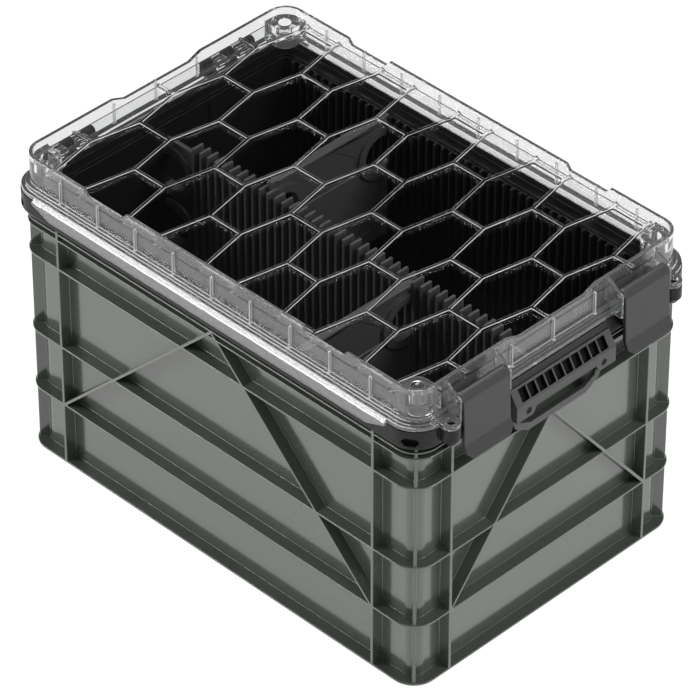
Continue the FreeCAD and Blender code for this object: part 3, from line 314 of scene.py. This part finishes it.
# shadow rays, and rays that a rough surface has scattered, go straight through the lid
def clearPlastic(name, look):
    material = bpy.data.materials.new(name)
    material.use_nodes = True
    tree = material.node_tree
    shader = tree.nodes["Principled BSDF"]
    shader.inputs["Base Color"].default_value = look["tint"] + (1,)
    shader.inputs["Transmission Weight"].default_value = look["through"]
    shader.inputs["IOR"].default_value = look["ior"]
    addSkin(tree, shader, {**clearSkin, **look}, clearGrainHigh)
    through = addNode(tree, "ShaderNodeBsdfTransparent")
    through.inputs["Color"].default_value = look["shadow"] + (1,)
    path = addNode(tree, "ShaderNodeLightPath")
    scattered = addMath(tree, "SUBTRACT", path.outputs["Is Reflection Ray"], path.outputs["Is Singular Ray"])
    straight = addMath(tree, "MAXIMUM", path.outputs["Is Shadow Ray"], scattered)
    mixShaders(tree, straight, shader, through)
    return material


for name, look in clearLooks.items():
    materials[name] = clearPlastic(name, look)
print("materials made:", len(materials))


# how solids are merged and softened: lengths in metres, angles in degrees, facing as a cosine
softRule = {
    "mergeGap": 0.00001, "flatAngle": 0.4, "pointStep": 0.0005, "throwWidths": 2.2, "throwSlack": 0.0003,
    "softFacing": 0.3, "keepFacing": 0.5,
}


# points along the edges that are to be softened, to find corners thrown off by the bevel
def edgePoints(edges):
    points = []
    for edge in edges:
        start, end = edge.verts[0].co, edge.verts[1].co
        count = max(1, int((end - start).length / softRule["pointStep"]))
        points += [start.lerp(end, i / count) for i in range(count + 1)]
    tree = KDTree(len(points))
    for i, point in enumerate(points):
        tree.insert(point, i)
    tree.balance()
    return tree


def softenEdges(shape, mark, edges, width, steps):
    points = edgePoints(edges)
    reach = softRule["throwWidths"] * width + softRule["throwSlack"]
    made = bmesh.ops.bevel(shape, geom=edges, offset=width, offset_type="OFFSET", segments=steps, profile=0.5,
                           affect="EDGES", clamp_overlap=False, loop_slide=True, material=-1)
    for face in made["faces"]:
        face[mark] = 1
    for corner in made["verts"]:
        point, _, gap = points.find(corner.co)
        if gap > reach:
            corner.co = point


# normals that keep flat faces flat and turn smoothly over the softened edges
def evenNormals(shape, mark, angle):
    limit = math.cos(math.radians(angle))
    areas = [face.calc_area() for face in shape.faces]
    shape.faces.index_update()
    normals = []
    for face in shape.faces:
        for loop in face.loops:
            around = loop.vert.link_faces
            flat = [other for other in around if not other[mark]]
            if not face[mark]:
                near = [other for other in flat if other.normal.dot(face.normal) > limit]
            else:
                near = [other for other in flat
                        if other.normal.dot(face.normal) > softRule["softFacing"]] or around
            total = Vector()
            for other in near:
                total += other.normal * areas[other.index]
            even = total.normalized()
            agrees = even.dot(face.normal) > softRule["keepFacing"]
            normals.append(even if agrees else face.normal.copy())
    return normals


def sharpEdges(shape, mark, angle):
    return [edge for edge in shape.edges if len(edge.link_faces) == 2
            and edge.calc_face_angle(0) > math.radians(angle)
            and not any(face[mark] for face in edge.link_faces)]


# a moulding with soft edges, made from its solid
def softMoulding(name, node, body, slot, material, soften):
    mesh = bpy.data.meshes.new(name)
    shape = bmesh.new()
    shape.from_mesh(nodes[node].data)
    mark = shape.faces.layers.int.new("soft")
    bmesh.ops.remove_doubles(shape, verts=shape.verts, dist=softRule["mergeGap"])
    bmesh.ops.dissolve_limit(shape, angle_limit=math.radians(softRule["flatAngle"]), verts=shape.verts,
                             edges=shape.edges, use_dissolve_boundaries=False)
    if "first" in soften:
        inZone, width, steps = soften["first"]
        chosen = [edge for edge in sharpEdges(shape, mark, soften["angle"]) if inZone(edge)]
        softenEdges(shape, mark, chosen, width, steps)
    others = [edge for edge in sharpEdges(shape, mark, soften["angle"])
              if "crease" not in soften or not soften["crease"](edge)]
    softenEdges(shape, mark, others, soften["width"], soften["steps"])
    shape.normal_update()
    names = [material]
    for number, (zoneMaterial, inZone, onlySoft) in enumerate(soften.get("zones", ()), 1):
        names.append(zoneMaterial)
        for face in shape.faces:
            if (face[mark] or not onlySoft) and inZone(face):
                face.material_index = number
    normals = evenNormals(shape, mark, soften["angle"])
    shape.to_mesh(mesh)
    shape.free()
    for each in names:
        mesh.materials.append(materials[each])
    mesh.shade_smooth()
    mesh.normals_split_custom_set(normals)
    piece = bpy.data.objects.new(name, mesh)
    scene.collection.objects.link(piece)
    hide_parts(node)
    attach(piece, body)
    print("moulding", name, len(mesh.polygons), "faces")


# zones of the lid, in metres
lidPlan = {"panelX": 0.2145, "panelY": 0.1431, "panelLow": 0.2753, "panelHigh": 0.2804, "honeyLow": 0.2794,
           "wallX": 0.21691, "wallY": 0.14551, "ribLow": 0.2577, "ribHigh": 0.2824, "endHalf": 0.050,
           "rearX": -0.2055, "footHigh": 0.2786, "skirtY": 0.1495, "skirtHigh": 0.2590,
           "sideFacing": 0.3}


def onPanel(part):
    return all(abs(spot.co.x) < lidPlan["panelX"] and abs(spot.co.y) < lidPlan["panelY"]
               and lidPlan["panelLow"] < spot.co.z < lidPlan["panelHigh"] for spot in part.verts)


def onHoneycomb(part):
    return onPanel(part) and all(spot.co.z > lidPlan["honeyLow"] for spot in part.verts)


def onWallRib(part):
    spots = [spot.co for spot in part.verts]
    tall = all(lidPlan["ribLow"] < spot.z < lidPlan["ribHigh"] for spot in spots)
    long = all(abs(spot.y) > lidPlan["wallY"] and abs(spot.x) < lidPlan["wallX"] for spot in spots)
    short = all(abs(spot.x) > lidPlan["wallX"] and abs(spot.y) < lidPlan["endHalf"] for spot in spots)
    return tall and (long or short)


def onRibFoot(part):
    return onPanel(part) and all(spot.co.z < lidPlan["footHigh"] for spot in part.verts)


def onRearWall(part):
    return all(spot.co.x < lidPlan["rearX"] for spot in part.verts)


def onRibSide(face):
    return onPanel(face) and abs(face.normal.z) < lidPlan["sideFacing"]


def onSkirt(part):
    return all(abs(spot.co.y) > lidPlan["skirtY"] and spot.co.z < lidPlan["skirtHigh"] for spot in part.verts)


# upward faces of the crate, and the broad ones of the case, in square metres; both take a darker copy of
# their plastic, painted shade on the tops
ledgePlan = {"upFacing": 0.8, "broad": 0.0001}


def facesUp(face):
    return face.normal.z > ledgePlan["upFacing"]


def onLedge(face):
    return facesUp(face) and face.calc_area() > ledgePlan["broad"]


# the louvred slope of the handle runs from its top edge to its knee, in metres
handlePlan = {"edge": Vector((0.2254, 0, 0.2465)), "knee": Vector((0.2333, 0, 0.2340)),
              "slotHalf": 0.0475, "slotMargin": 0.001, "slotSkin": 0.0007, "slotDeep": 0.0046}


# faces inside the louvre slots, which take the near-black painted shade
def inLouvre(face):
    slope = handlePlan["knee"] - handlePlan["edge"]
    along = slope.normalized()
    inward = Vector((along.z, 0, -along.x))
    middle = face.calc_center_median() - handlePlan["edge"]
    return (abs(middle.y) < handlePlan["slotHalf"]
            and handlePlan["slotSkin"] < middle.dot(inward) < handlePlan["slotDeep"]
            and handlePlan["slotMargin"] < middle.dot(along) < slope.length - handlePlan["slotMargin"])


# edges sharper than the angle are softened by the width in metres; a zone is its material,
# its test, and whether it takes softened faces only
def soft(width, steps=2, angle=25, **more):
    return {"width": width, "steps": steps, "angle": angle, **more}


# piece: node, body, slot, material, soft edges
mouldings = {
    # the crate's upward faces take the darker shelf copy of its plastic, painted shade
    "crateMoulding": ("crate_shell", "crate", "crate_plastic", "cratePlastic",
                      soft(0.0006, zones=(("crateShelfPaintedShade", facesUp, False),))),
    # broad upward faces of the case take the darker ledge copy of its plastic, painted shade
    "caseMoulding": ("case_tub", "case", "case_plastic", "casePlastic",
                     soft(0.0003, zones=(("caseLedgePaintedShade", onLedge, False),))),
    # the faces inside the louvre slots take a near-black painted shade
    "handleMoulding": ("carry_handle", "case", "handle_plastic", "handlePlastic",
                       soft(0.0004, zones=(("louvrePaintedShade", inLouvre, False),))),
    "combDivider": ("long_divider", "case", "divider_plastic", "dividerPlastic", soft(0.0003)),
    "rearClip": ("divider_clip_rear", "case", "divider_plastic", "dividerPlastic", soft(0.0005)),
    "frontClip": ("divider_clip_front", "case", "divider_plastic", "dividerPlastic", soft(0.0005)),
    "rearCrossDivider": ("cross_divider_rear", "divider_rear_body", "divider_plastic", "dividerPlastic",
                         soft(0.0004)),
    "frontCrossDivider": ("cross_divider_front", "divider_front_body", "divider_plastic", "dividerPlastic",
                          soft(0.0004)),
    "lidMoulding": ("lid_shell", "lid", "lid_clear", "lidHaze",
                    soft(0.0005, first=(onHoneycomb, 0.0006, 2), crease=onRibFoot,
                         zones=(("lidRear", onRearWall, False), ("lidSkirt", onSkirt, False),
                                ("lidClear", onPanel, False), ("lidRibSide", onRibSide, False),
                                # the milky zones on the softened rib edges are painted highlight lines
                                ("honeycombEdgePaintedHighlight", onHoneycomb, True), ("wallRibEdgePaintedHighlight", onWallRib, True)))),
    "leftLatch": ("latch_left", "latch_left_body", "latch_plastic", "latchPlastic",
                  soft(0.0006, steps=3, angle=20)),
    "rightLatch": ("latch_right", "latch_right_body", "latch_plastic", "latchPlastic",
                   soft(0.0006, steps=3, angle=20)),
}
for name, details in mouldings.items():
    softMoulding(name, *details)

# nodes that keep their own shape
plainNodes = {
    "lid_gasket": "sealRubber", "handle_screws": "screwSteel",
    "hinge_pin_left": "screwSteel", "hinge_pin_right": "screwSteel",
    "latch_pin_left": "pinSteel", "latch_pin_right": "pinSteel",
}
for node, material in plainNodes.items():
    nodes[node].data.materials.clear()
    nodes[node].data.materials.append(materials[material])
print("mouldings made:", len(mouldings), "kept nodes:", len(plainNodes))

# pale floor, white to the camera, with the object's soft shadow
floorLook = {"size": 16.0, "glow": 0.92, "shade": 0.2, "albedo": 0.8}


def layFloor():
    mesh = bpy.data.meshes.new("studioFloor")
    shape = bmesh.new()
    bmesh.ops.create_grid(shape, x_segments=1, y_segments=1, size=floorLook["size"] / 2)
    shape.to_mesh(mesh)
    shape.free()
    floor = bpy.data.objects.new("studioFloor", mesh)
    scene.collection.objects.link(floor)
    material = bpy.data.materials.new("floorWhite")
    material.use_nodes = True
    tree = material.node_tree
    tree.nodes.remove(tree.nodes["Principled BSDF"])
    plain = addNode(tree, "ShaderNodeBsdfDiffuse")
    plain.inputs["Color"].default_value = grey(floorLook["albedo"]) + (1,)
    shade = addNode(tree, "ShaderNodeBsdfDiffuse")
    shade.inputs["Color"].default_value = grey(floorLook["shade"]) + (1,)
    glow = addNode(tree, "ShaderNodeEmission")
    glow.inputs["Strength"].default_value = floorLook["glow"]
    seen = addNode(tree, "ShaderNodeAddShader")
    tree.links.new(shade.outputs[0], seen.inputs[0])
    tree.links.new(glow.outputs[0], seen.inputs[1])
    path = addNode(tree, "ShaderNodeLightPath")
    mirrored = addMath(tree, "MAXIMUM", path.outputs["Is Glossy Ray"], path.outputs["Is Transmission Ray"])
    direct = addMath(tree, "MAXIMUM", path.outputs["Is Camera Ray"], mirrored)
    mixShaders(tree, direct, plain, seen)
    mesh.materials.append(material)


layFloor()

# studio world: white round the horizon, dim overhead
worldLook = {"low": 0.1, "high": 0.42, "horizon": 1.0, "overhead": 0.015, "strength": 1.0}


def lightWorld():
    world = bpy.data.worlds.new("studioWorld")
    scene.world = world
    world.use_nodes = True
    tree = world.node_tree
    background = tree.nodes["Background"]
    ray = addNode(tree, "ShaderNodeTexCoord")
    split = addNode(tree, "ShaderNodeSeparateXYZ")
    tree.links.new(ray.outputs["Generated"], split.inputs[0])
    fall = mapRange(tree, split.outputs["Z"], (worldLook["low"], worldLook["high"]),
                    (worldLook["horizon"], worldLook["overhead"]))
    path = addNode(tree, "ShaderNodeLightPath")
    level = addMath(tree, "MAXIMUM", fall, path.outputs["Is Camera Ray"])
    tree.links.new(level, background.inputs["Color"])
    background.inputs["Strength"].default_value = worldLook["strength"]


lightWorld()

# large soft lamps: name, azimuth, elevation, distance, size, watts
lampAim = Vector((0, 0, 0.14))
lamps = [
    ("leftLamp", 317, 35, 3.0, 1.2, 52),
    ("rightLamp", 113, 41, 3.0, 1.2, 52),
    ("rearLamp", 225, 66, 3.0, 1.0, 30),
    ("frontLamp", 62, 58, 3.0, 1.6, 18),
]


def hangLamps():
    for name, azimuth, elevation, distance, size, watts in lamps:
        place = outTo(azimuth, elevation) * distance
        data = bpy.data.lights.new(name, "AREA")
        data.shape = "DISK"
        data.size = size
        data.energy = watts
        lamp = bpy.data.objects.new(name, data)
        lamp.location = place
        lamp.rotation_euler = (lampAim - place).to_track_quat("-Z", "Y").to_euler()
        lamp.visible_transmission = False    # no sparks of lamp light inside the clear walls
        scene.collection.objects.link(lamp)


hangLamps()
print("stage, world and lamps set")
